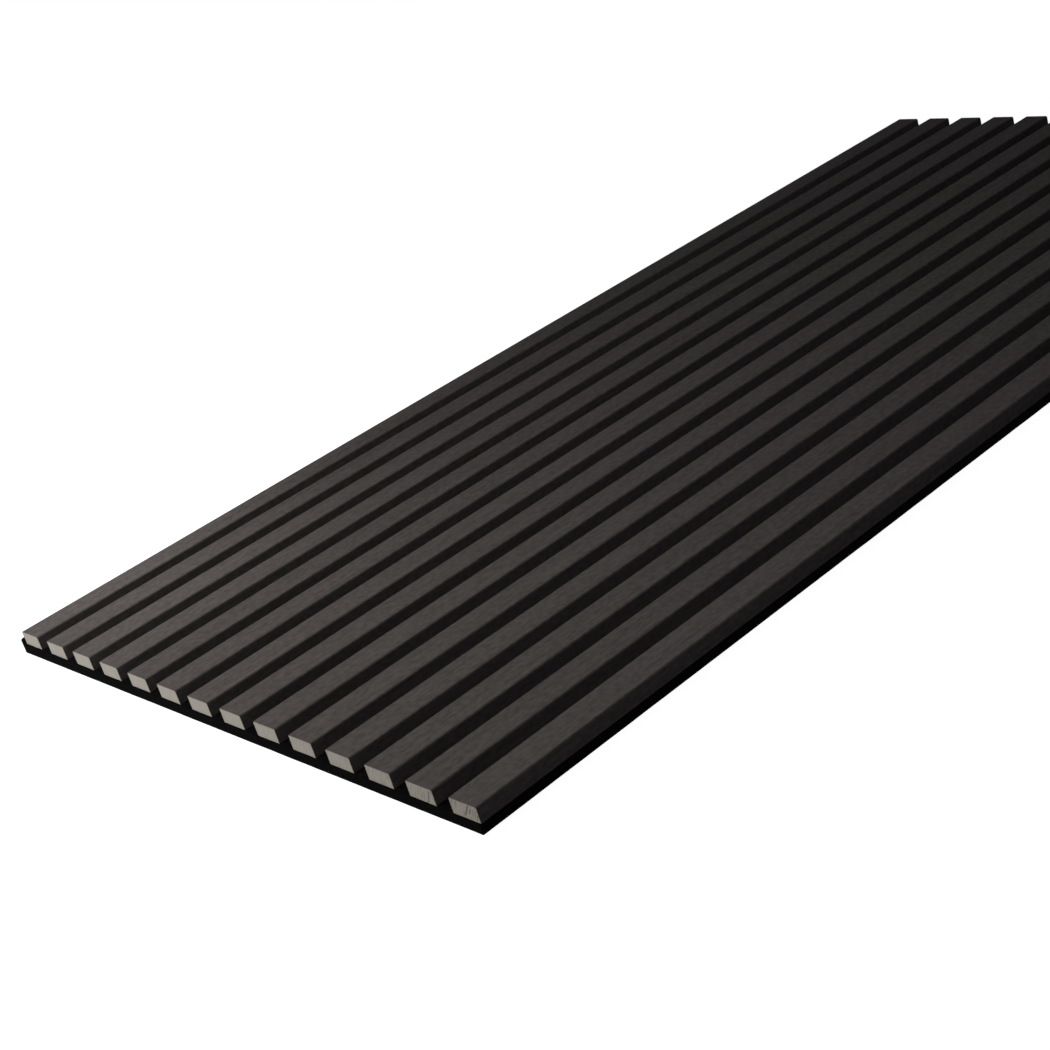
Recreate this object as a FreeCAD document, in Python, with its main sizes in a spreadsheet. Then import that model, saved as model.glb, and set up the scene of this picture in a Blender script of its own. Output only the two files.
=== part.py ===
import FreeCAD, Part
import os
import Sketcher

# Acoustic slat wall panel: square-cut slats on a felt sheet that hangs flat against the wall.
# Each slat is a light core, bare at its two cut ends, under a dark veneer folded over its top
# and both sides. Wire staples, driven from the back, hold the slats to the felt.
# Lengths are in millimetres. X runs across the slats, Y along them and Z out of the wall.
# The felt's back face is on Z = 0 and the middle of the panel is over the origin.

DRIVING_SIZES = {
    "panel_length": 1200,
    "slat_count": 14,
    "slat_width": 27,
    "slat_height": 12,
    "slat_gap": 16.5,
    "slat_edge_radius": 1.5,
    "veneer_thickness": 0.6,
    "felt_thickness": 9,
    "felt_margin": 7.5,
    "felt_corner_radius": 1,
    "last_slat_overhang": 1.5,
    "staple_rows": 5,
    "staple_end_distance": 60,
    "staple_crown_width": 12.8,
    "staple_leg_length": 14,
    "staple_wire_thickness": 0.65,
    "staple_wire_width": 0.95,
    "staple_sink": 0.5,
    "staple_point_length": 0.9,
}

# Sizes that follow from the driving ones, in the order in which they are worked out.
DERIVED_SIZES = {
    "slat_pitch": "=slat_width + slat_gap",
    "overall_width": "=felt_margin + slat_count * slat_width + (slat_count - 1) * slat_gap",
    "felt_width": "=overall_width - last_slat_overhang",
    "felt_centre": "=-last_slat_overhang / 2",
    "first_slat_centre": "=felt_margin + slat_width / 2 - overall_width / 2",
    "core_width": "=slat_width - 2 * veneer_thickness",
    "core_height": "=slat_height - veneer_thickness",
    "core_edge_radius": "=slat_edge_radius - veneer_thickness",
    "staple_half_crown": "=staple_crown_width / 2",
    "staple_leg_inside": "=staple_half_crown - staple_wire_thickness",
    "staple_crown_top": "=staple_sink + staple_wire_thickness",
    "staple_tip": "=staple_sink + staple_leg_length",
    "staple_shoulder": "=staple_tip - staple_point_length",
    "staple_row_span": "=panel_length - 2 * staple_end_distance",
    "staple_first_row": "=staple_row_span / 2",
    "staple_column_span": "=(slat_count - 1) * slat_pitch",
}

SAME_PLACE = 1e-6


def fill_sheet(document):
    """Writes the sizes into the sheet: names in column A, values with aliases in column B."""
    sheet = document.addObject("Spreadsheet::Sheet", "Sizes")
    for row, (name, value) in enumerate({**DRIVING_SIZES, **DERIVED_SIZES}.items(), start=1):
        sheet.set(f"A{row}", name)
        sheet.set(f"B{row}", str(value))
        sheet.setAlias(f"B{row}", name)
    document.recompute()
    return sheet


def whole_number(sheet, name):
    return int(round(getattr(sheet, name)))


def origin_feature(body, role):
    """Finds one of the body's own origin planes or axes."""
    return next(feature for feature in body.Origin.OriginFeatures if feature.Role == role)


def new_body(document, name):
    body = document.addObject("PartDesign::Body", name)
    body.Label = name
    return body


def new_sketch(body, name, plane):
    sketch = body.newObject("Sketcher::SketchObject", name)
    sketch.AttachmentSupport = [(origin_feature(body, plane), "")]
    sketch.MapMode = "FlatFace"
    return sketch


def bind_corner(sketch, line, direction, expression):
    """Ties the start of a line to the sketch's origin in one direction."""
    if expression == "0":
        sketch.addConstraint(Sketcher.Constraint("PointOnObject", line, 1, -1))
        return
    value = float(sketch.evalExpression(expression))
    constraint = Sketcher.Constraint(direction, -1, 1, line, 1, value)
    sketch.setExpression(f"Constraints[{sketch.addConstraint(constraint)}]", expression)


def draw_outline(sketch, corners):
    """Draws a closed outline of straight lines, its corners given as (across, up) expressions."""
    points = []
    for across, up in corners:
        across_value = float(sketch.evalExpression(across))
        up_value = float(sketch.evalExpression(up))
        points.append(FreeCAD.Vector(across_value, up_value, 0))
    following_points = points[1:] + points[:1]
    lines = []
    for start, end in zip(points, following_points):
        lines.append(sketch.addGeometry(Part.LineSegment(start, end)))
    for line, following in zip(lines, lines[1:] + lines[:1]):
        sketch.addConstraint(Sketcher.Constraint("Coincident", line, 2, following, 1))
    for line, (across, up) in zip(lines, corners):
        bind_corner(sketch, line, "DistanceX", across)
        bind_corner(sketch, line, "DistanceY", up)


def mirrored_outline(half):
    """Completes the right half of an outline, given from bottom to top, with its mirror image."""
    return half + [(f"-({across})", up) for across, up in reversed(half)]


def extrude(body, kind, name, sketch, length):
    """Pads or pockets a sketch evenly to both sides of its plane."""
    feature = body.newObject(kind, name)
    feature.Profile = sketch
    feature.SideType = "Symmetric"
    feature.setExpression("Length", length)
    sketch.Visibility = False
    return feature


def long_edges_at(feature, height):
    """Names the edges that run along the slat at one height, as a fillet refers to them."""
    names = []
    for number, edge in enumerate(feature.Shape.Edges, start=1):
        box = edge.BoundBox
        runs_along = box.XLength < SAME_PLACE and box.ZLength < SAME_PLACE
        if runs_along and abs(box.ZMax - height) < SAME_PLACE:
            names.append(f"Edge{number}")
    return names


def upright_edges(feature):
    """Names the edges that stand upright, as a fillet refers to them."""
    names = []
    for number, edge in enumerate(feature.Shape.Edges, start=1):
        box = edge.BoundBox
        if box.XLength < SAME_PLACE and box.YLength < SAME_PLACE:
            names.append(f"Edge{number}")
    return names


def round_edges(body, name, base, edge_names, radius):
    fillet = body.newObject("PartDesign::Fillet", name)
    fillet.Base = (base, edge_names)
    fillet.setExpression("Radius", radius)
    return fillet


def repeat_along_rows(body, name, feature, sheet):
    """Repeats a feature at each staple row, along Y."""
    pattern = body.newObject("PartDesign::LinearPattern", name)
    pattern.Originals = [feature]
    pattern.Direction = (origin_feature(body, "Y_Axis"), [""])
    pattern.setExpression("Length", "Sizes.staple_row_span")
    pattern.Occurrences = whole_number(sheet, "staple_rows")
    body.Tip = pattern
    return pattern


def repeat_over_slats(body, name, feature, sheet):
    """Repeats a feature at each staple row of each slat, along Y and across X."""
    pattern = repeat_along_rows(body, name, feature, sheet)
    pattern.Direction2 = (origin_feature(body, "X_Axis"), [""])
    pattern.setExpression("Length2", "Sizes.staple_column_span")
    pattern.Occurrences2 = whole_number(sheet, "slat_count")
    return pattern


def set_on_first_row(sketch):
    """Moves a cross-section sketch from the middle of the panel to the first staple row."""
    sketch.setExpression("AttachmentOffset.Base.z", "Sizes.staple_first_row")


def place_on_slat(body, index):
    """Puts a slat's piece on the felt, at its own place across the panel."""
    body.setExpression("Placement.Base.x", f"Sizes.first_slat_centre + {index} * Sizes.slat_pitch")
    body.setExpression("Placement.Base.z", "Sizes.felt_thickness")


def make_core(document, sheet, index):
    """A slat's light core: a square-cut bar, rounded under the veneer, holding the staples' legs."""
    body = new_body(document, f"slat_core_{index + 1:02d}")
    section = new_sketch(body, "core_section", "XZ_Plane")
    half = [
        ("Sizes.core_width / 2", "0"),
        ("Sizes.core_width / 2", "Sizes.core_height"),
    ]
    draw_outline(section, mirrored_outline(half))
    bar = extrude(body, "PartDesign::Pad", "core_bar", section, "Sizes.panel_length")
    document.recompute()
    top_edges = long_edges_at(bar, sheet.core_height)
    round_edges(body, "core_top_edges", bar, top_edges, "Sizes.core_edge_radius")

    legs = new_sketch(body, "staple_leg_section", "XZ_Plane")
    set_on_first_row(legs)
    for side in ("", "-"):
        corners = [
            (f"{side}Sizes.staple_half_crown", "0"),
            (f"{side}Sizes.staple_half_crown", "Sizes.staple_shoulder - Sizes.felt_thickness"),
            (f"{side}Sizes.staple_leg_inside", "Sizes.staple_tip - Sizes.felt_thickness"),
            (f"{side}Sizes.staple_leg_inside", "0"),
        ]
        draw_outline(legs, corners)
    holes = extrude(body, "PartDesign::Pocket", "staple_leg_holes", legs, "Sizes.staple_wire_width")
    repeat_along_rows(body, "staple_leg_rows", holes, sheet)
    place_on_slat(body, index)
    return body


def make_veneer(document, sheet, index):
    """A slat's dark veneer: one thin sheet folded down over the core's top and both sides."""
    body = new_body(document, f"slat_veneer_{index + 1:02d}")
    section = new_sketch(body, "veneer_section", "XZ_Plane")
    outside = [
        ("Sizes.slat_width / 2", "0"),
        ("Sizes.slat_width / 2", "Sizes.slat_height"),
        ("-Sizes.slat_width / 2", "Sizes.slat_height"),
        ("-Sizes.slat_width / 2", "0"),
    ]
    inside = [
        ("-Sizes.core_width / 2", "0"),
        ("-Sizes.core_width / 2", "Sizes.core_height"),
        ("Sizes.core_width / 2", "Sizes.core_height"),
        ("Sizes.core_width / 2", "0"),
    ]
    draw_outline(section, outside + inside)
    fold = extrude(body, "PartDesign::Pad", "veneer_fold", section, "Sizes.panel_length")
    document.recompute()
    outer_edges = long_edges_at(fold, sheet.slat_height)
    outer = round_edges(body, "outer_bends", fold, outer_edges, "Sizes.slat_edge_radius")
    document.recompute()
    inner_edges = long_edges_at(outer, sheet.core_height)
    round_edges(body, "inner_bends", outer, inner_edges, "Sizes.core_edge_radius")
    place_on_slat(body, index)
    return body


def make_felt(document, sheet):
    """The felt sheet under all the slats, cut through by every staple."""
    body = new_body(document, "felt_backing")
    section = new_sketch(body, "felt_section", "XZ_Plane")
    half = [
        ("Sizes.felt_width / 2", "0"),
        ("Sizes.felt_width / 2", "Sizes.felt_thickness"),
    ]
    draw_outline(section, mirrored_outline(half))
    board = extrude(body, "PartDesign::Pad", "felt_sheet", section, "Sizes.panel_length")
    document.recompute()
    corners = upright_edges(board)
    round_edges(body, "felt_corners", board, corners, "Sizes.felt_corner_radius")

    slot = new_sketch(body, "staple_slot_section", "XZ_Plane")
    set_on_first_row(slot)
    column = "Sizes.first_slat_centre - Sizes.felt_centre"
    outline = []
    for side in ("+", "-"):
        outline_half = [
            (f"{column} {side} Sizes.staple_half_crown", "0"),
            (f"{column} {side} Sizes.staple_half_crown", "Sizes.felt_thickness"),
            (f"{column} {side} Sizes.staple_leg_inside", "Sizes.felt_thickness"),
            (f"{column} {side} Sizes.staple_leg_inside", "Sizes.staple_crown_top"),
        ]
        outline += outline_half if side == "+" else outline_half[::-1]
    draw_outline(slot, outline)
    slots = extrude(body, "PartDesign::Pocket", "staple_slots", slot, "Sizes.staple_wire_width")
    repeat_over_slats(body, "staple_slot_grid", slots, sheet)
    body.setExpression("Placement.Base.x", "Sizes.felt_centre")
    return body


def make_staples(document, sheet):
    """The staples: flat wire bent to a U, its two legs cut to points, one solid each."""
    body = new_body(document, "staples")
    body.AllowCompound = True
    section = new_sketch(body, "staple_section", "XZ_Plane")
    set_on_first_row(section)
    half = [
        ("Sizes.staple_half_crown", "Sizes.staple_sink"),
        ("Sizes.staple_half_crown", "Sizes.staple_shoulder"),
        ("Sizes.staple_leg_inside", "Sizes.staple_tip"),
        ("Sizes.staple_leg_inside", "Sizes.staple_crown_top"),
    ]
    draw_outline(section, mirrored_outline(half))
    staple = extrude(body, "PartDesign::Pad", "staple_wire", section, "Sizes.staple_wire_width")
    repeat_over_slats(body, "staple_grid", staple, sheet)
    body.setExpression("Placement.Base.x", "Sizes.first_slat_centre")
    return body


def check_document(document, bodies):
    """Stops if a feature failed or a piece has no sound shape."""
    for item in document.Objects:
        if "Invalid" in item.State or "Error" in item.State:
            raise RuntimeError(f"{item.Label} could not be computed")
    for body in bodies:
        if body.Shape.isNull() or not body.Shape.isValid():
            raise RuntimeError(f"{body.Label} has no valid shape")


def write_pieces(bodies):
    os.makedirs("parts", exist_ok=True)
    for body in bodies:
        body.Shape.exportStep(f"parts/{body.Label}.step")


document = FreeCAD.newDocument("acoustic_slat_panel")
sheet = fill_sheet(document)
bodies = [make_felt(document, sheet)]
for slat in range(whole_number(sheet, "slat_count")):
    bodies.append(make_core(document, sheet, slat))
    bodies.append(make_veneer(document, sheet, slat))
bodies.append(make_staples(document, sheet))
document.recompute()
check_document(document, bodies)
write_pieces(bodies)
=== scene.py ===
import math

import bpy
import numpy as np
from mathutils import Matrix, Vector, noise


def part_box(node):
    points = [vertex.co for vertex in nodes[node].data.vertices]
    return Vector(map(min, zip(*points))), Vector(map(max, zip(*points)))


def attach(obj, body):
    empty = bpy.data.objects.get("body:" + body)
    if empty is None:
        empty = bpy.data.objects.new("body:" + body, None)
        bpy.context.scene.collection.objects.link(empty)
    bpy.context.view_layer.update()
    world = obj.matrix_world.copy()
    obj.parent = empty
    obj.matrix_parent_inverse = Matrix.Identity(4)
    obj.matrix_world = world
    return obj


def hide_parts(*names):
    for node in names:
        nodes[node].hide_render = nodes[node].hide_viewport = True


# Acoustic slat wall panel, looked at over its photographed cut ends. The CAD solids of the slats
# and staples stay and get materials. The felt is made again here, with its soft cut edges, its
# needled surface, the hollows round the staples and its loose fibres. Lengths are in metres,
# except where a name ends in MM.

MM = 0.001

# The camera stands beyond the near right corner and is turned about its own axis.
CAMERA_PLACE = Vector((1.1675, -1.1246, 0.6303))
CAMERA_AIM = Vector((0.0347, -0.3132, 0.0210))
CAMERA_ROLL = math.radians(-17.28)
CAMERA_LENS_MM = 66.79
SENSOR_MM = 36.0
NEAREST_SEEN = 0.01
FARTHEST_SEEN = 200.0

# The felt's edges and corners, as radii.
FELT_EDGE_ROUND = 0.5 * MM
FELT_FOOT_ROUND = 0.1 * MM
FELT_CORNER = 0.6 * MM
NEAR_LEFT_CORNER = 2.3 * MM

# The felt's free margin beside the first slat stands up a little, most at the near end.
MARGIN_RISE = 0.8 * MM
MARGIN_CURL = 3.4 * MM
CURL_REACH = 45.0 * MM
MARGIN_ROUND = 2.2 * MM
MARGIN_SLOPE = 1.2 * MM

# The felt's near edge stands a little before the slats, at the right by only a share of that.
NEAR_EDGE_OUT = 1.5 * MM
NEAR_EDGE_REACH = 25.0 * MM
RIGHT_SHARE = 0.15

# The felt's surface between the slats, over the staples and at its cut edges.
FELT_PUFF = 0.2 * MM
MOST_PUFF = 1.5 * FELT_PUFF
SOFT_RISE = 2.4 * MM
SOFT_RISE_STEP = SOFT_RISE / 3
CALM_EDGE = 2.0 * MM
WAVY_EDGE = 3.0 * MM
DIMPLE_DEPTH = 0.85 * MM
DIMPLE_REACH = 2.4 * MM
DIMPLE_END = 4 * DIMPLE_REACH
BACK_ROUGH = 0.06 * MM
BACK_WAVES = 0.5
WALL_LEVELS = 5
WALL_HOLLOW = 0.6
WALL_WAVE_STRETCH = 3

# The waves on the felt: their height, how many to a metre, and the heights in the noise from which
# the edges, the top and the back take theirs.
FELT_WAVE = 0.14 * MM
BROAD_WAVES = 38.0
FINE_WAVES = 260.0
FINE_SHARE = 0.5
EDGE_LAYER = 0.0
TOP_LAYER = 0.5
BACK_LAYER = 1.5

# The felt's grid: the lines next to an edge, the stretches round a staple, and the steps elsewhere.
EDGE_LINES_MM = (0.0, 0.12, 0.35, 0.75, 1.3, 2.5)
LEAST_STEP = 0.05 * MM
STAPLE_SIDE = 3.2 * MM
STAPLE_SIDE_STEP = 2.4 * MM
STAPLE_AHEAD = 4.8 * MM
STAPLE_AHEAD_STEP = 1.6 * MM
COLUMN_STEP = 8.0 * MM
ROW_STEP = 9.0 * MM

# Decimals of a metre by which grid lines and corners are told apart, and a length that is none.
GRID_DIGITS = 5
SAME_PLACE_DIGITS = 6
NO_LENGTH = 1e-9

# Loose fibres: how many there are at each place, and their shortest and longest length.
FIBRE_SEED = 7
EDGE_FIBRES = 4500
EDGE_FIBRES_MM = (0.3, 0.8)
GROOVE_FIBRES = 5000
GROOVE_FIBRES_MM = (1.2, 3.5)
BACK_FIBRES = 2500
BACK_FIBRES_MM = (1.5, 4.5)

# How far the fibres spread, rise and bend, as shares of their length.
EDGE_SPREAD = 0.7
EDGE_BEND = 0.35
GROOVE_SPREAD = 0.35
GROOVE_RISE = 0.3
GROOVE_BEND = 0.2
BACK_BEND = 0.4

# Where fibres start: as shares of the felt's sides from its middle, as shares of its thickness,
# and as distances from the slats, from the felt's edges and above its back.
ALONG_EDGE = 0.49
AT_EDGE = 0.4998
EDGE_HEIGHTS = (0.08, 0.92)
GROOVE_MARGIN = 2.0 * MM
GROOVE_FAR_MARGIN = 6.0 * MM
BACK_MARGIN = 6.0 * MM
ABOVE_BACK = 0.04 * MM

# The thread that each fibre is: its radius, its sides, its rings from root to tip and its taper,
# and a direction that no fibre follows exactly, from which its sides are found.
FIBRE_RADIUS = 0.018 * MM
FIBRE_SIDES = 3
FIBRE_RINGS = (0.0, 0.5, 1.0)
FIBRE_TAPER = 0.7
NO_FIBRE_WAY = (0.31, 0.17, 0.93)

# Cracks in the cut ends of the last two slats: the slat's number, the crack's upper and lower end
# as shares of the slat's width from its left side and of its height from its top, and how dark
# the crack is.
CRACKS = [
    (13, (0.55, 0.45), (0.48, 0.85), 0.30),
    (13, (0.66, 0.30), (0.58, 0.88), 0.35),
    (13, (0.86, 0.20), (0.73, 0.94), 0.75),
    (14, (0.68, 0.10), (0.48, 0.84), 0.90),
    (14, (0.74, 0.30), (0.66, 0.64), 0.75),
    (14, (0.84, 0.25), (0.76, 0.75), 0.35),
    (14, (0.92, 0.30), (0.84, 0.80), 0.35),
    (14, (0.98, 0.50), (0.87, 0.92), 0.65),
]
CRACK_WIDTH = 1.3 * MM
CRACK_DARK_HALF = 0.15 * CRACK_WIDTH
CRACK_FADED_HALF = 0.6 * CRACK_WIDTH
CRACK_TIP = 0.5 * CRACK_WIDTH
HALF_CRACK_RAG = 0.4 * MM

# Colours as the surface itself reflects them, linear.
VENEER_DARK = (0.0480, 0.0425, 0.0392, 1.0)
VENEER_LIGHT = (0.1060, 0.0952, 0.0885, 1.0)
VENEER_PORE = (0.0288, 0.0250, 0.0228, 1.0)
VENEER_CUT = (0.2200, 0.1950, 0.1600, 1.0)
CORE_DARK = (0.352, 0.328, 0.282, 1.0)
CORE_LIGHT = (0.428, 0.402, 0.350, 1.0)
CORE_LINE = (0.150, 0.132, 0.105, 1.0)
CORE_GRIT = (0.250, 0.228, 0.190, 1.0)
CORE_CRACK = (0.040, 0.034, 0.026, 1.0)
FELT_DARK = (0.0010, 0.0010, 0.0011, 1.0)
FELT_PALE = (0.0085, 0.0084, 0.0086, 1.0)
WIRE_DARK = (0.42, 0.42, 0.41, 1.0)
WIRE_LIGHT = (0.68, 0.68, 0.66, 1.0)
FLOOR_GREY = (0.22, 0.22, 0.22, 1.0)
ROOM_COLOUR = (0.70, 0.84, 1.0, 1.0)
WHITE = (1.0, 1.0, 1.0, 1.0)

# Patterns in the materials, as waves per metre along X, Y and Z, and how far the core's lines lean.
STREAK_WAVES = (190.0, 1.8, 190.0)
GRAIN_WAVES = (1300.0, 24.0, 1300.0)
PORE_WAVES = (2200.0, 110.0, 2200.0)
MOTTLE_WAVES = (300.0, 190.0, 300.0)
LINE_WAVES = (620.0, 620.0, 70.0)
LINE_LEAN = 0.42
CLOUD_WAVES = (140.0, 140.0, 90.0)
GRIT_WAVES = (2400.0, 2400.0, 2400.0)
RAG_WAVES = (900.0, 900.0, 700.0)
LENGTHWISE_FIBRE_WAVES = (2900.0, 420.0, 2200.0)
CROSSWISE_FIBRE_WAVES = (420.0, 2900.0, 1700.0)
CLUMP_WAVES = (190.0, 190.0, 190.0)
WIRE_MARK_WAVES = (300.0, 6000.0, 6000.0)

# The part of a pattern's range that shows: it starts at the first value and is full at the second.
MIDDLE_SPAN = (0.30, 0.70)
MOTTLE_SPAN = (0.35, 0.65)
PORE_SPAN = (0.60, 0.72)
ROUGHNESS_SPAN = (0.25, 0.75)
LINE_SPAN = (0.50, 0.68)
GRIT_SPAN = (0.55, 0.75)
PALE_FIBRE_SPAN = (0.52, 0.74)
CUT_FACE_SPAN = (0.90, 0.95)

# What each pattern counts for in the veneer's tone, 1 together, how strong the other patterns are,
# and the roughness at the two ends of a pattern.
SLAT_SHARE = 0.10
STREAK_SHARE = 0.14
GRAIN_SHARE = 0.42
MOTTLE_SHARE = 0.34
PORE_STRENGTH = 0.40
PORE_RELIEF = 1.4
LINE_STRENGTH = 0.7
GRIT_STRENGTH = 0.3
CLUMP_STRENGTHS = (0.5, 1.0)
CLUMP_RELIEF = 0.6
VENEER_ROUGHNESS = (0.40, 0.50)
WIRE_ROUGHNESS = (0.28, 0.45)

# The core's fibre lines grow stronger from one place across the panel to another.
LINES_GROW = (0.05, 0.27)
LINE_GROWTH = (0.15, 1.0)

# The room's dim light, how far the floor reaches, and its glow: it grows a little between the two
# distances from the middle of the panel.
ROOM_STRENGTH = 0.04
GROUND_REACH = 40.0
GLOW_DISTANCES = (0.7, 1.3)
GLOW_STRENGTHS = (0.95, 1.0)

# What the lamps face, the colours of their light, and each lamp: its name, place, aim, width,
# height, watts and colour.
NEAR_END = (0.0, -0.3, 0.0)
NEAR_LEFT = (-0.31, -0.49, 0.0)
FAR_END = (0.0, 0.6, 0.0)
WARM = (1.0, 0.97, 0.94)
NEUTRAL = (0.98, 0.97, 1.0)
COOL = (0.80, 0.90, 1.0)
LAMPS = [
    ("left_lamp", (-0.38, -0.95, 0.55), NEAR_END, 0.30, 0.30, 4.1, NEUTRAL),
    ("near_left_lamp", (-0.33, -0.50, 0.20), NEAR_LEFT, 0.15, 0.15, 0.24, NEUTRAL),
    ("key_lamp", (-0.01, -0.86, 0.64), NEAR_END, 0.34, 0.34, 1.7, WARM),
    ("front_lamp", (-0.20, -1.50, 0.50), NEAR_END, 0.60, 0.40, 2.4, WARM),
    ("right_lamp", (1.00, -0.50, 1.20), NEAR_END, 0.50, 0.50, 3.0, NEUTRAL),
    ("top_lamp", (0.0, -0.20, 2.00), NEAR_END, 1.50, 1.50, 1.7, COOL),
    ("back_lamp", (-1.40, 1.90, 0.14), FAR_END, 0.70, 0.20, 28.0, NEUTRAL),
]

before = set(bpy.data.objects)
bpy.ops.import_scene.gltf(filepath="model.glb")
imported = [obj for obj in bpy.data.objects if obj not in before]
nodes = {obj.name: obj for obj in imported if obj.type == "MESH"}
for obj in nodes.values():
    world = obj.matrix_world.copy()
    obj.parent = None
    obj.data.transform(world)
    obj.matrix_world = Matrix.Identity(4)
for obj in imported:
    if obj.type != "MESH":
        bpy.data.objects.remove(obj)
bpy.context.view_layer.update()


# Reading the frame.


def numbered(prefix):
    """The CAD nodes whose names start alike, in the order of their numbers."""
    return [nodes[name] for name in sorted(nodes) if name.startswith(prefix)]


def parts_of_mesh(mesh_object):
    """The box of each separate solid in one node, as (low, high) corner arrays."""
    mesh = mesh_object.data
    places = np.array([v.co for v in mesh.vertices])
    owner = list(range(len(places)))

    def root(index):
        """The corner that stands for all corners known to be joined to this one."""
        while owner[index] != index:
            owner[index] = owner[owner[index]]
            index = owner[index]
        return index

    shared = {}
    for index, place in enumerate(np.round(places, SAME_PLACE_DIGITS)):
        first = shared.setdefault(tuple(place), index)
        owner[root(index)] = root(first)
    for edge in mesh.edges:
        owner[root(edge.vertices[0])] = root(edge.vertices[1])
    groups = {}
    for index in range(len(places)):
        groups.setdefault(root(index), []).append(index)
    return [(places[group].min(0), places[group].max(0)) for group in groups.values()]


slat_boxes = [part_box(piece.name) for piece in numbered("slat_veneer")]
felt_low, felt_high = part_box("felt_backing")
staple_boxes = parts_of_mesh(nodes["staples"])
SLAT_LEFTS = [low.x for low, high in slat_boxes]
SLAT_WIDTH = slat_boxes[0][1].x - slat_boxes[0][0].x
PITCH = SLAT_LEFTS[1] - SLAT_LEFTS[0]


# Parts of materials. Every pattern is worked out from the place on the object, in metres.


def add_node(tree, kind, inputs=None, **settings):
    """Adds a shader node, sets its options, and links or sets its inputs by name or number."""
    made = tree.nodes.new(kind)
    for name, value in settings.items():
        setattr(made, name, value)
    for socket, value in (inputs or {}).items():
        if isinstance(value, bpy.types.NodeSocket):
            tree.links.new(value, made.inputs[socket])
        else:
            made.inputs[socket].default_value = value
    return made


def empty_tree(owner):
    """The node tree of a material or world, with nothing in it."""
    owner.use_nodes = True
    owner.node_tree.nodes.clear()
    return owner.node_tree


def new_material(name, uniform):
    """A material with one Principled shader: the material, its tree and that shader.

    uniform holds the shader's values that are the same all over the surface.
    """
    material = bpy.data.materials.new(name)
    tree = empty_tree(material)
    shader = add_node(tree, "ShaderNodeBsdfPrincipled", uniform)
    add_node(tree, "ShaderNodeOutputMaterial", {"Surface": shader.outputs["BSDF"]})
    return material, tree, shader


def math_node(tree, operation, first, second=0.0):
    """A sum, product or other operation on one or two values."""
    return add_node(tree, "ShaderNodeMath", {0: first, 1: second}, operation=operation).outputs[0]


def mix_colours(tree, factor, first, second):
    """The first colour where the factor is 0, the second where it is 1."""
    inputs = {"Factor": factor, "A": first, "B": second}
    return add_node(tree, "ShaderNodeMix", inputs, data_type="RGBA").outputs["Result"]


def remap(tree, value, span, to_span=(0.0, 1.0)):
    """Maps a span of a value onto another span, and stops at its ends."""
    low, high = span
    to_low, to_high = to_span
    inputs = {"Value": value, "From Min": low, "From Max": high, "To Min": to_low, "To Max": to_high}
    return add_node(tree, "ShaderNodeMapRange", inputs).outputs["Result"]


def place_along(tree, axis):
    """One coordinate of the place on the object, in metres."""
    place = add_node(tree, "ShaderNodeTexCoord").outputs["Object"]
    return add_node(tree, "ShaderNodeSeparateXYZ", {"Vector": place}).outputs[axis]


def leaning_place(tree, lean):
    """The place on the object, changed so that upright lines lean to the left, going down."""
    back = math_node(tree, "MULTIPLY", place_along(tree, "Z"), lean)
    leaning_x = math_node(tree, "SUBTRACT", place_along(tree, "X"), back)
    parts = {"X": leaning_x, "Y": place_along(tree, "Y"), "Z": place_along(tree, "Z")}
    return add_node(tree, "ShaderNodeCombineXYZ", parts).outputs["Vector"]


def stretched_noise(tree, waves, detail, roughness=0.5, offset=(0.0, 0.0, 0.0), lean=0.0):
    """Noise with its own count of waves per metre along X, Y and Z, from 0 to 1."""
    if lean:
        place = leaning_place(tree, lean)
    else:
        place = add_node(tree, "ShaderNodeTexCoord").outputs["Object"]
    inputs = {"Vector": place, "Scale": waves, "Location": offset}
    mapped = add_node(tree, "ShaderNodeMapping", inputs).outputs["Vector"]
    inputs = {"Vector": mapped, "Scale": 1.0, "Detail": detail, "Roughness": roughness}
    return add_node(tree, "ShaderNodeTexNoise", inputs).outputs["Fac"]


def set_relief(tree, shader, height, strength, depth):
    """Gives the surface a relief from a pattern's values, depth metres for a whole 1 of them."""
    bump = add_node(tree, "ShaderNodeBump", {"Height": height, "Strength": strength, "Distance": depth})
    tree.links.new(bump.outputs["Normal"], shader.inputs["Normal"])


def slat_tone(tree):
    """A tone of its own for each slat, from 0 to 1, found from which slat the place lies in."""
    before_first = SLAT_LEFTS[0] - (PITCH - SLAT_WIDTH) / 2
    along = math_node(tree, "SUBTRACT", place_along(tree, "X"), before_first)
    slat_number = math_node(tree, "FLOOR", math_node(tree, "DIVIDE", along, PITCH))
    tone = add_node(tree, "ShaderNodeTexWhiteNoise", {"W": slat_number}, noise_dimensions="1D")
    return tone.outputs["Value"]


def cut_end(tree):
    """1 on the sawn faces, which look along the slat, and 0 on the others."""
    facing = add_node(tree, "ShaderNodeNewGeometry").outputs["True Normal"]
    along = add_node(tree, "ShaderNodeSeparateXYZ", {"Vector": facing}).outputs["Y"]
    return remap(tree, math_node(tree, "ABSOLUTE", along), CUT_FACE_SPAN)


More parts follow.
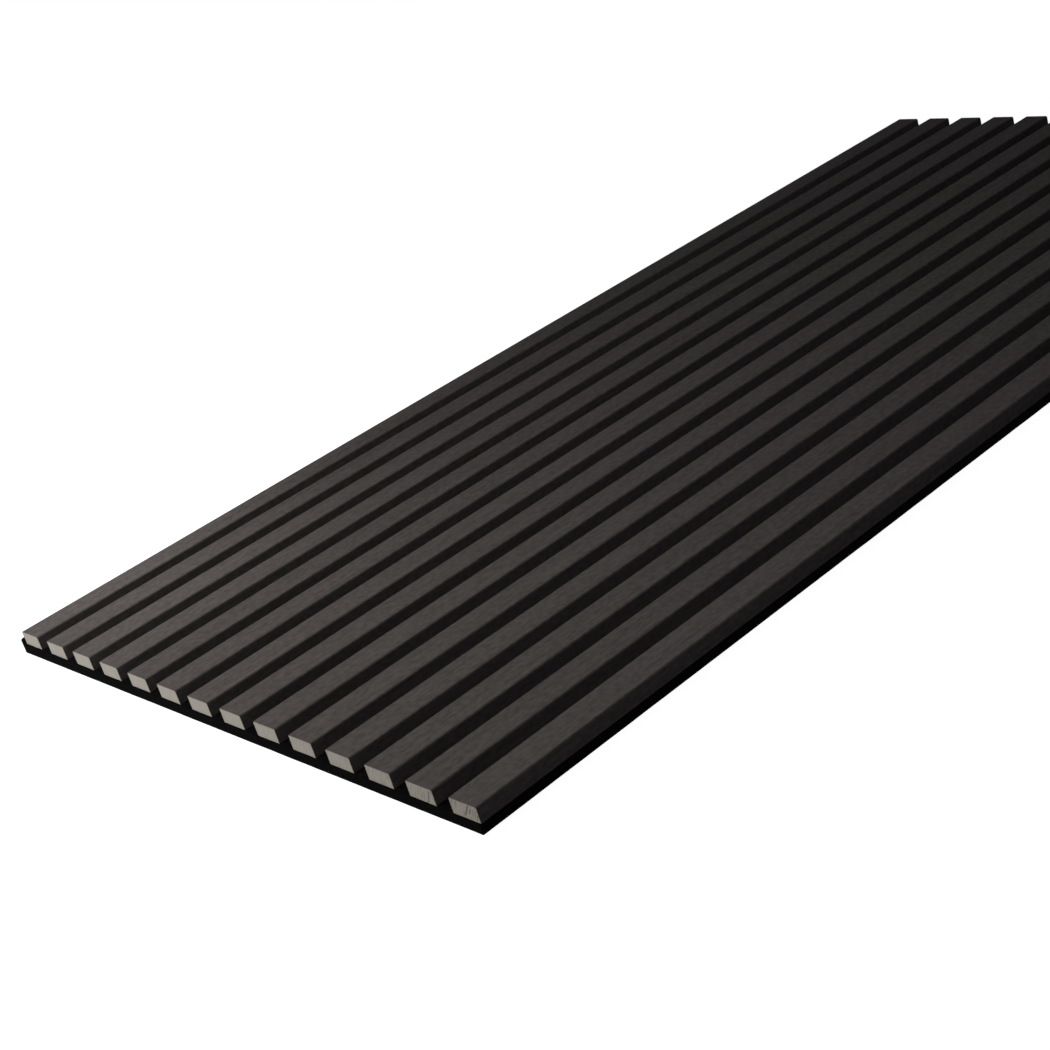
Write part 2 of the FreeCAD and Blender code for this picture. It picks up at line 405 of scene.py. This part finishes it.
def crack_mask(tree, rag, crack):
    """How dark the place is because of one leaning crack with ragged sides."""
    number, upper, lower, strength = crack
    low, high = slat_boxes[number - 1]
    wide = high.x - low.x
    tall = high.z - low.z
    upper_x = low.x + upper[0] * wide
    upper_z = high.z - upper[1] * tall
    lower_x = low.x + lower[0] * wide
    lower_z = high.z - lower[1] * tall
    height = place_along(tree, "Z")
    above = math_node(tree, "SUBTRACT", height, lower_z)
    middle = math_node(tree, "MULTIPLY", above, (upper_x - lower_x) / (upper_z - lower_z))
    ragged_x = math_node(tree, "ADD", place_along(tree, "X"), rag)
    across = math_node(tree, "SUBTRACT", ragged_x, lower_x)
    beside = math_node(tree, "ABSOLUTE", math_node(tree, "SUBTRACT", across, middle))
    mask = remap(tree, beside, (CRACK_DARK_HALF, CRACK_FADED_HALF), (strength, 0.0))
    for end, inward in ((lower_z, CRACK_TIP), (upper_z, -CRACK_TIP)):
        inside = remap(tree, height, (end - inward, end + inward))
        mask = math_node(tree, "MULTIPLY", mask, inside)
    return mask


# The materials.


def veneer_material():
    """Anthracite veneer: matt, with fine grain, short pores and faint wide streaks along the slat."""
    material, tree, shader = new_material("anthracite_veneer", {"Specular IOR Level": 0.0})
    streaks = stretched_noise(tree, STREAK_WAVES, detail=2.0)
    grain = stretched_noise(tree, GRAIN_WAVES, detail=4.0, roughness=0.6)
    pores = stretched_noise(tree, PORE_WAVES, detail=2.0, offset=(3.1, 7.7, 1.3))
    mottle = stretched_noise(tree, MOTTLE_WAVES, detail=3.0, offset=(9.2, 1.4, 5.0))

    tone = math_node(tree, "MULTIPLY", slat_tone(tree), SLAT_SHARE)
    for pattern, span, share in (
        (streaks, MIDDLE_SPAN, STREAK_SHARE),
        (grain, MIDDLE_SPAN, GRAIN_SHARE),
        (mottle, MOTTLE_SPAN, MOTTLE_SHARE),
    ):
        tone = math_node(tree, "ADD", tone, remap(tree, pattern, span, (0.0, share)))
    colour = mix_colours(tree, tone, VENEER_DARK, VENEER_LIGHT)
    pore = remap(tree, pores, PORE_SPAN, (0.0, PORE_STRENGTH))
    colour = mix_colours(tree, pore, colour, VENEER_PORE)
    colour = mix_colours(tree, cut_end(tree), colour, VENEER_CUT)
    tree.links.new(colour, shader.inputs["Base Color"])

    roughness = remap(tree, grain, ROUGHNESS_SPAN, VENEER_ROUGHNESS)
    tree.links.new(roughness, shader.inputs["Roughness"])
    relief = math_node(tree, "SUBTRACT", grain, math_node(tree, "MULTIPLY", pore, PORE_RELIEF))
    set_relief(tree, shader, relief, strength=0.25, depth=0.06 * MM)
    return material


def core_material():
    """Light sawn core: pale grey-brown, with leaning fibre lines that grow stronger to the right."""
    uniform = {"Roughness": 0.85, "Specular IOR Level": 0.3}
    material, tree, shader = new_material("sawn_core", uniform)
    lines = stretched_noise(tree, LINE_WAVES, detail=4.0, roughness=0.62, lean=LINE_LEAN)
    cloud = stretched_noise(tree, CLOUD_WAVES, detail=2.0, offset=(1.0, 3.0, 8.0))
    grit = stretched_noise(tree, GRIT_WAVES, detail=2.0)
    raggedness = stretched_noise(tree, RAG_WAVES, detail=2.0, offset=(4.7, 0.0, 2.2))

    growth = remap(tree, place_along(tree, "X"), LINES_GROW, LINE_GROWTH)
    line = math_node(tree, "MULTIPLY", remap(tree, lines, LINE_SPAN), growth)
    colour = mix_colours(tree, cloud, CORE_DARK, CORE_LIGHT)
    colour = mix_colours(tree, math_node(tree, "MULTIPLY", line, LINE_STRENGTH), colour, CORE_LINE)
    speck = remap(tree, grit, GRIT_SPAN, (0.0, GRIT_STRENGTH))
    colour = mix_colours(tree, speck, colour, CORE_GRIT)
    rag = remap(tree, raggedness, (0.0, 1.0), (-HALF_CRACK_RAG, HALF_CRACK_RAG))
    darkness = 0.0
    for crack in CRACKS:
        darkness = math_node(tree, "MAXIMUM", crack_mask(tree, rag, crack), darkness)
    colour = mix_colours(tree, darkness, colour, CORE_CRACK)
    tree.links.new(colour, shader.inputs["Base Color"])

    relief = math_node(tree, "SUBTRACT", grit, math_node(tree, "ADD", line, darkness))
    set_relief(tree, shader, relief, strength=0.35, depth=0.15 * MM)
    return material


def felt_material():
    """Black needled felt: matt, with a scatter of slightly paler fibres."""
    uniform = {"Roughness": 1.0, "Specular IOR Level": 0.02}
    material, tree, shader = new_material("black_felt", uniform)
    lengthwise = stretched_noise(tree, LENGTHWISE_FIBRE_WAVES, detail=2.0)
    crosswise = stretched_noise(tree, CROSSWISE_FIBRE_WAVES, detail=2.0, offset=(2.0, 5.0, 1.0))
    clumps = stretched_noise(tree, CLUMP_WAVES, detail=3.0)
    fibre = math_node(tree, "MAXIMUM", lengthwise, crosswise)
    clump = remap(tree, clumps, MIDDLE_SPAN, CLUMP_STRENGTHS)
    paleness = math_node(tree, "MULTIPLY", remap(tree, fibre, PALE_FIBRE_SPAN), clump)
    tree.links.new(mix_colours(tree, paleness, FELT_DARK, FELT_PALE), shader.inputs["Base Color"])
    relief = math_node(tree, "ADD", fibre, math_node(tree, "MULTIPLY", clumps, CLUMP_RELIEF))
    set_relief(tree, shader, relief, strength=0.6, depth=0.3 * MM)
    return material


def staple_material():
    """Galvanised staple wire: grey metal with drawing marks along the wire."""
    material, tree, shader = new_material("galvanised_wire", {"Metallic": 1.0})
    marks = stretched_noise(tree, WIRE_MARK_WAVES, detail=3.0)
    tree.links.new(mix_colours(tree, marks, WIRE_DARK, WIRE_LIGHT), shader.inputs["Base Color"])
    tree.links.new(remap(tree, marks, MIDDLE_SPAN, WIRE_ROUGHNESS), shader.inputs["Roughness"])
    return material


def seen_ray(tree):
    """1 for rays that show the background: from the camera, from gloss and through glass."""
    path = add_node(tree, "ShaderNodeLightPath")
    seen = math_node(tree, "ADD", path.outputs["Is Camera Ray"], path.outputs["Is Glossy Ray"])
    return math_node(tree, "ADD", seen, path.outputs["Is Transmission Ray"])


def mix_by_ray(tree, unseen, seen):
    """One shader for the rays that show the background and another for all other rays."""
    inputs = {0: seen_ray(tree), 1: unseen.outputs[0], 2: seen.outputs[0]}
    return add_node(tree, "ShaderNodeMixShader", inputs).outputs[0]


def floor_material():
    """White floor, a little less bright near the panel, so that the panel's soft shadow shows on it."""
    material = bpy.data.materials.new("white_floor")
    tree = empty_tree(material)
    matt = add_node(tree, "ShaderNodeBsdfDiffuse", {"Color": FLOOR_GREY})
    place = add_node(tree, "ShaderNodeTexCoord").outputs["Object"]
    away = add_node(tree, "ShaderNodeVectorMath", {0: place}, operation="LENGTH").outputs["Value"]
    strength = remap(tree, away, GLOW_DISTANCES, GLOW_STRENGTHS)
    glow = add_node(tree, "ShaderNodeEmission", {"Color": WHITE, "Strength": strength})
    both = add_node(tree, "ShaderNodeAddShader", {0: matt.outputs[0], 1: glow.outputs[0]})
    add_node(tree, "ShaderNodeOutputMaterial", {"Surface": mix_by_ray(tree, matt, both)})
    return material


def dress(mesh_object, material):
    """Gives a piece one material in place of the plain ones it came with."""
    mesh_object.data.materials.clear()
    mesh_object.data.materials.append(material)


def new_mesh_object(name, vertices, faces):
    """A mesh object in the scene, made of places and the faces between them."""
    mesh = bpy.data.meshes.new(name)
    mesh.from_pydata(vertices, [], faces)
    mesh.update()
    made = bpy.data.objects.new(name, mesh)
    bpy.context.scene.collection.objects.link(made)
    return made


# The felt sheet.


def spread_lines(low, high, step):
    """Evenly spaced lines from low to high, about a step apart."""
    count = max(1, round((high - low) / step))
    return list(np.linspace(low, high, count + 1))


def grid_lines(low, high, dense, coarse_step):
    """Grid lines across the felt: close at its edges and in the dense stretches, wide elsewhere.

    dense is a list of (low, high, step) stretches.
    """
    lines = [low + step * MM for step in EDGE_LINES_MM] + [high - step * MM for step in EDGE_LINES_MM]
    for start, end, step in dense:
        lines += spread_lines(start, end, step)
    lines = sorted(line for line in lines if low <= line <= high)
    filled = [lines[0]]
    for line in lines[1:]:
        if line - filled[-1] < LEAST_STEP:
            continue
        filled += spread_lines(filled[-1], line, coarse_step)[1:]
    return np.array(filled)


def without_repeats(stretches):
    """The stretches in order, those that lie at the same place only once."""
    rounded = {(round(a, GRID_DIGITS), round(b, GRID_DIGITS), step) for a, b, step in stretches}
    return sorted(rounded)


def felt_grid():
    """The felt's grid lines along X and along Y: close beside the slats and near the staples."""
    columns = []
    rows = []
    for low, high in staple_boxes:
        columns.append((low[0] - STAPLE_SIDE, high[0] + STAPLE_SIDE, STAPLE_SIDE_STEP))
        middle = (low[1] + high[1]) / 2
        rows.append((middle - STAPLE_AHEAD, middle + STAPLE_AHEAD, STAPLE_AHEAD_STEP))
    for left in SLAT_LEFTS:
        right = left + SLAT_WIDTH
        columns.append((left - SOFT_RISE, left, SOFT_RISE_STEP))
        columns.append((right, right + SOFT_RISE, SOFT_RISE_STEP))
    xs = grid_lines(felt_low.x, felt_high.x, without_repeats(columns), COLUMN_STEP)
    ys = grid_lines(felt_low.y, felt_high.y, without_repeats(rows), ROW_STEP)
    return xs, ys


def wave(x, y, z):
    """The unevenness of the felt at a place: broad waves with finer ones on them."""
    place = Vector((x, y, z))
    return FELT_WAVE * (noise.noise(place * BROAD_WAVES) + FINE_SHARE * noise.noise(place * FINE_WAVES))


def round_corner(x, y):
    """Moves a place near a corner of the felt so that the square outline becomes a rounded one."""
    near_left = x < (felt_low.x + felt_high.x) / 2 and y < (felt_low.y + felt_high.y) / 2
    radius = NEAR_LEFT_CORNER if near_left else FELT_CORNER
    centre_x = min(max(x, felt_low.x + radius), felt_high.x - radius)
    centre_y = min(max(y, felt_low.y + radius), felt_high.y - radius)
    away_x = x - centre_x
    away_y = y - centre_y
    reach = max(abs(away_x), abs(away_y))
    length = math.hypot(away_x, away_y)
    if length < NO_LENGTH:
        return x, y
    return centre_x + away_x / length * reach, centre_y + away_y / length * reach


def edge_distance(x, y):
    """How far a place is from the nearest edge of the felt."""
    return min(x - felt_low.x, felt_high.x - x, y - felt_low.y, felt_high.y - y)


def edge_drop(distance, radius):
    """How far a face has fallen away, at a distance from an edge that is rounded with a radius."""
    inward = min(distance / radius, 1.0)
    return radius * (1.0 - math.sqrt(max(0.0, 1.0 - (1.0 - inward) ** 2)))


def margin_rise(x, y):
    """How far the free margin on the left stands above the face that carries the slats."""
    beside = min(1.0, max(0.0, (SLAT_LEFTS[0] - x) / MARGIN_SLOPE))
    return beside * (MARGIN_RISE + MARGIN_CURL * math.exp(-(y - felt_low.y) / CURL_REACH))


def near_edge_out(x, y):
    """How far the felt is drawn out before the slats' near ends: most on the left."""
    share_left = (felt_high.x - x) / (felt_high.x - felt_low.x)
    nearness = max(0.0, 1.0 - (y - felt_low.y) / NEAR_EDGE_REACH)
    return NEAR_EDGE_OUT * (RIGHT_SHARE + (1.0 - RIGHT_SHARE) * share_left) * nearness


def under_slat(x):
    """1 under a slat, 0 in the middle of a groove, with a short change between."""
    for left in SLAT_LEFTS:
        outside = max(left - x, x - (left + SLAT_WIDTH))
        if outside < SOFT_RISE:
            return min(1.0, max(0.0, 1.0 - outside / SOFT_RISE))
    return 0.0


def dimple(x, y):
    """Depth of the hollow that the staples' crowns press into the felt's back."""
    depth = 0.0
    for low, high in staple_boxes:
        beside = max(low[0] - x, 0.0, x - high[0])
        ahead = y - (low[1] + high[1]) / 2
        distance_squared = beside**2 + ahead**2
        if distance_squared < DIMPLE_END**2:
            depth = max(depth, DIMPLE_DEPTH * math.exp(-distance_squared / (2 * DIMPLE_REACH**2)))
    return depth


def felt_outline(x, y):
    """Where a crossing of grid lines lies: corners are rounded, and cut edges are slightly wavy."""
    at_x, at_y = round_corner(x, y)
    push = wave(x, y, EDGE_LAYER)
    if min(x - felt_low.x, felt_high.x - x) < WAVY_EDGE:
        at_x -= push if x > 0 else -push
    if min(y - felt_low.y, felt_high.y - y) < WAVY_EDGE:
        at_y -= push if y > 0 else -push
    return at_x, at_y - near_edge_out(x, y)


def felt_top(x, y):
    """Height of the felt's top: flat under the slats, a little raised and wavy in the grooves."""
    distance = edge_distance(x, y)
    radius = MARGIN_ROUND if x < SLAT_LEFTS[0] else FELT_EDGE_ROUND
    puff = (1.0 - under_slat(x)) * (FELT_PUFF + wave(x, y, TOP_LAYER))
    raised = min(puff, MOST_PUFF) * min(1.0, distance / CALM_EDGE) + margin_rise(x, y)
    return felt_high.z - edge_drop(distance, radius) + raised


def felt_back(x, y):
    """Height of the felt's back: slightly rough, with hollows round the staples' crowns."""
    distance = edge_distance(x, y)
    hollow = dimple(x, y) if distance > FELT_EDGE_ROUND else 0.0
    rough = max(0.0, BACK_ROUGH + BACK_WAVES * wave(x, y, BACK_LAYER)) * min(1.0, distance / CALM_EDGE)
    return felt_low.z + edge_drop(distance, FELT_FOOT_ROUND) + hollow + rough


def add_cut_edges(vertices, faces, top, back):
    """Joins the felt's top and back along its outline with a slightly hollowed wall."""
    # The keys of top are the crossings of the grid, so the largest is its far right one.
    last_i, last_j = max(top)
    around = [(i, 0) for i in range(last_i)] + [(last_i, j) for j in range(last_j)]
    around += [(i, last_j) for i in range(last_i, 0, -1)] + [(0, j) for j in range(last_j, 0, -1)]
    wall = []
    for i, j in around:
        low = Vector(vertices[back[i, j]])
        high = Vector(vertices[top[i, j]])
        outward_x = math.copysign(1.0, low.x) if i in (0, last_i) else 0.0
        outward_y = math.copysign(1.0, low.y) if j in (0, last_j) else 0.0
        outward = Vector((outward_x, outward_y, 0.0)).normalized()
        column = [back[i, j]]
        for level in range(1, WALL_LEVELS):
            place = low.lerp(high, level / WALL_LEVELS)
            hollow = abs(wave(place.x, place.y, place.z * WALL_WAVE_STRETCH))
            column.append(len(vertices))
            vertices.append(place - outward * hollow * WALL_HOLLOW)
        column.append(top[i, j])
        wall.append(column)
    for number, column in enumerate(wall):
        following = wall[(number + 1) % len(wall)]
        for level in range(WALL_LEVELS):
            faces.append((column[level], following[level], following[level + 1], column[level + 1]))


def make_felt():
    """The felt as one closed skin: a top face, a back face and cut edges between them."""
    xs, ys = felt_grid()
    vertices = []
    faces = []
    top = {}
    back = {}
    for i, x in enumerate(xs):
        for j, y in enumerate(ys):
            at_x, at_y = felt_outline(x, y)
            top[i, j] = len(vertices)
            vertices.append((at_x, at_y, felt_top(x, y)))
            back[i, j] = len(vertices)
            vertices.append((at_x, at_y, felt_back(x, y)))
    for i in range(len(xs) - 1):
        for j in range(len(ys) - 1):
            faces.append((top[i, j], top[i + 1, j], top[i + 1, j + 1], top[i, j + 1]))
            faces.append((back[i, j], back[i, j + 1], back[i + 1, j + 1], back[i + 1, j]))
    add_cut_edges(vertices, faces, top, back)
    sheet = new_mesh_object("felt_sheet", [tuple(place) for place in vertices], faces)
    sheet.data.polygons.foreach_set("use_smooth", [True] * len(faces))
    return sheet


# The felt's loose fibres. Each kind is given by where its fibres start, which way they go, how
# they bend and how long they are.


def points(x, y, z):
    """Three coordinates, each an array or one number, as one array of points."""
    return np.stack(np.broadcast_arrays(x, y, z), axis=1)


def unit(vectors):
    """Vectors brought to a length of 1."""
    return vectors / np.linalg.norm(vectors, axis=1)[:, None]


def edge_fibres(chance, count):
    """Short fibres that stand out of the four cut edges."""
    wide = felt_high.x - felt_low.x
    long = felt_high.y - felt_low.y
    middle_x = (felt_low.x + felt_high.x) / 2
    on_end = chance.random(count) < wide / (wide + long)
    far = np.where(chance.random(count) < 0.5, -1.0, 1.0)
    share_x = np.where(on_end, chance.uniform(-ALONG_EDGE, ALONG_EDGE, count), far * AT_EDGE)
    share_y = np.where(on_end, far * AT_EDGE, chance.uniform(-ALONG_EDGE, ALONG_EDGE, count))
    x = middle_x + share_x * wide
    y = share_y * long
    drawn_out = [near_edge_out(one_x, one_y) for one_x, one_y in zip(x, y)]
    starts = points(x, y - drawn_out, chance.uniform(*EDGE_HEIGHTS, count) * felt_high.z)
    outward = points(np.where(on_end, 0.0, far), np.where(on_end, far, 0.0), 0.0)
    ways = unit(outward + chance.normal(0.0, EDGE_SPREAD, (count, 3)))
    bends = chance.normal(0.0, EDGE_BEND, (count, 3))
    lengths = chance.uniform(*EDGE_FIBRES_MM, count) * MM
    return starts, ways, bends, lengths


def groove_fibres(chance, count):
    """Fibres that lie along the bottoms of the grooves."""
    groove = chance.integers(0, len(SLAT_LEFTS) - 1, count)
    room = PITCH - SLAT_WIDTH - 2 * GROOVE_MARGIN
    slat_right = np.array(SLAT_LEFTS)[groove] + SLAT_WIDTH
    x = slat_right + GROOVE_MARGIN + chance.random(count) * room
    y = chance.uniform(felt_low.y + GROOVE_MARGIN, felt_high.y - GROOVE_FAR_MARGIN, count)
    starts = points(x, y, felt_high.z + FELT_PUFF)
    sideways = chance.normal(0, GROOVE_SPREAD, count)
    ways = unit(points(sideways, 1.0, chance.uniform(0, GROOVE_RISE, count)))
    bend_x = chance.normal(0, GROOVE_BEND, count)
    bends = points(bend_x, 0.0, chance.uniform(-GROOVE_RISE, 0.0, count))
    lengths = chance.uniform(*GROOVE_FIBRES_MM, count) * MM
    return starts, ways, bends, lengths


def back_fibres(chance, count):
    """Fibres pressed flat on the felt's back."""
    x = chance.uniform(felt_low.x + BACK_MARGIN, felt_high.x - BACK_MARGIN, count)
    y = chance.uniform(felt_low.y + BACK_MARGIN, felt_high.y - BACK_MARGIN, count)
    starts = points(x, y, ABOVE_BACK)
    turn = chance.uniform(0, 2 * math.pi, count)
    ways = points(np.cos(turn), np.sin(turn), 0.0)
    bend_x = chance.normal(0, BACK_BEND, count)
    bends = points(bend_x, chance.normal(0, BACK_BEND, count), 0.0)
    lengths = chance.uniform(*BACK_FIBRES_MM, count) * MM
    return starts, ways, bends, lengths


def make_fibres():
    """All loose fibres as one mesh of thin, three-sided, tapering threads."""
    chance = np.random.default_rng(FIBRE_SEED)
    kinds = [
        edge_fibres(chance, EDGE_FIBRES),
        groove_fibres(chance, GROOVE_FIBRES),
        back_fibres(chance, BACK_FIBRES),
    ]
    starts, ways, bends, lengths = (np.concatenate(part) for part in zip(*kinds))
    side = unit(np.cross(ways, NO_FIBRE_WAY))
    other = np.cross(ways, side)
    corners = []
    for share in FIBRE_RINGS:
        middle = starts + (ways * share + bends * share**2) * lengths[:, None]
        reach = FIBRE_RADIUS * (1.0 - FIBRE_TAPER * share)
        for number in range(FIBRE_SIDES):
            turn = 2 * math.pi * number / FIBRE_SIDES
            corners.append(middle + reach * (math.cos(turn) * side + math.sin(turn) * other))
    vertices = np.stack(corners, axis=1).reshape(-1, 3)
    sides_of_one = []
    for ring in range(len(FIBRE_RINGS) - 1):
        low = ring * FIBRE_SIDES
        high = low + FIBRE_SIDES
        for corner in range(FIBRE_SIDES):
            following = (corner + 1) % FIBRE_SIDES
            sides_of_one.append((low + corner, low + following, high + following, high + corner))
    firsts = np.arange(len(starts))[:, None, None] * len(corners)
    faces = (firsts + np.array(sides_of_one)[None]).reshape(-1, 4)
    return new_mesh_object("felt_fibres", vertices.tolist(), faces.tolist())


# The floor, the light and the camera.


def add_floor():
    """A level floor far wider than the view."""
    reach = GROUND_REACH
    corners = [(-reach, -reach, 0), (reach, -reach, 0), (reach, reach, 0), (-reach, reach, 0)]
    floor = new_mesh_object("floor", corners, [(0, 1, 2, 3)])
    dress(floor, floor_material())


def add_soft_light(name, place, aim, width, height, watts, colour):
    """A rectangular lamp that faces a point."""
    lamp = bpy.data.lights.new(name, "AREA")
    lamp.shape = "RECTANGLE"
    lamp.size = width
    lamp.size_y = height
    lamp.energy = watts
    lamp.color = colour
    lamp_object = bpy.data.objects.new(name, lamp)
    lamp_object.location = place
    lamp_object.visible_camera = False
    lamp_object.rotation_euler = (Vector(aim) - Vector(place)).to_track_quat("-Z", "Y").to_euler()
    bpy.context.scene.collection.objects.link(lamp_object)


def set_world():
    """A dim, slightly cool room, white where the camera, gloss or glass looks past the floor."""
    world = bpy.data.worlds.new("room")
    bpy.context.scene.world = world
    tree = empty_tree(world)
    room_inputs = {"Color": ROOM_COLOUR, "Strength": ROOM_STRENGTH}
    room = add_node(tree, "ShaderNodeBackground", room_inputs)
    white = add_node(tree, "ShaderNodeBackground", {"Color": WHITE, "Strength": 1.0})
    add_node(tree, "ShaderNodeOutputWorld", {"Surface": mix_by_ray(tree, room, white)})


def set_camera():
    """The camera, looking as the photograph does."""
    data = bpy.data.cameras.new("camera")
    data.sensor_width = SENSOR_MM
    data.lens = CAMERA_LENS_MM
    data.clip_start = NEAREST_SEEN
    data.clip_end = FARTHEST_SEEN
    camera = bpy.data.objects.new("camera", data)
    bpy.context.scene.collection.objects.link(camera)
    looking = (CAMERA_AIM - CAMERA_PLACE).to_track_quat("-Z", "Y").to_matrix().to_4x4()
    roll = Matrix.Rotation(CAMERA_ROLL, 4, "Z")
    camera.matrix_world = Matrix.Translation(CAMERA_PLACE) @ looking @ roll
    bpy.context.scene.camera = camera


# The pieces, and what stands round them.

veneer = veneer_material()
for piece in numbered("slat_veneer"):
    dress(piece, veneer)
core = core_material()
for piece in numbered("slat_core"):
    dress(piece, core)
dress(nodes["staples"], staple_material())

felt = felt_material()
felt_sheet = make_felt()
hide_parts("felt_backing")
felt_fibres = make_fibres()
for piece in (felt_sheet, felt_fibres):
    dress(piece, felt)
    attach(piece, "root")

add_floor()
for lamp in LAMPS:
    add_soft_light(*lamp)
set_world()
set_camera()
bpy.context.scene.view_settings.view_transform = "Standard"
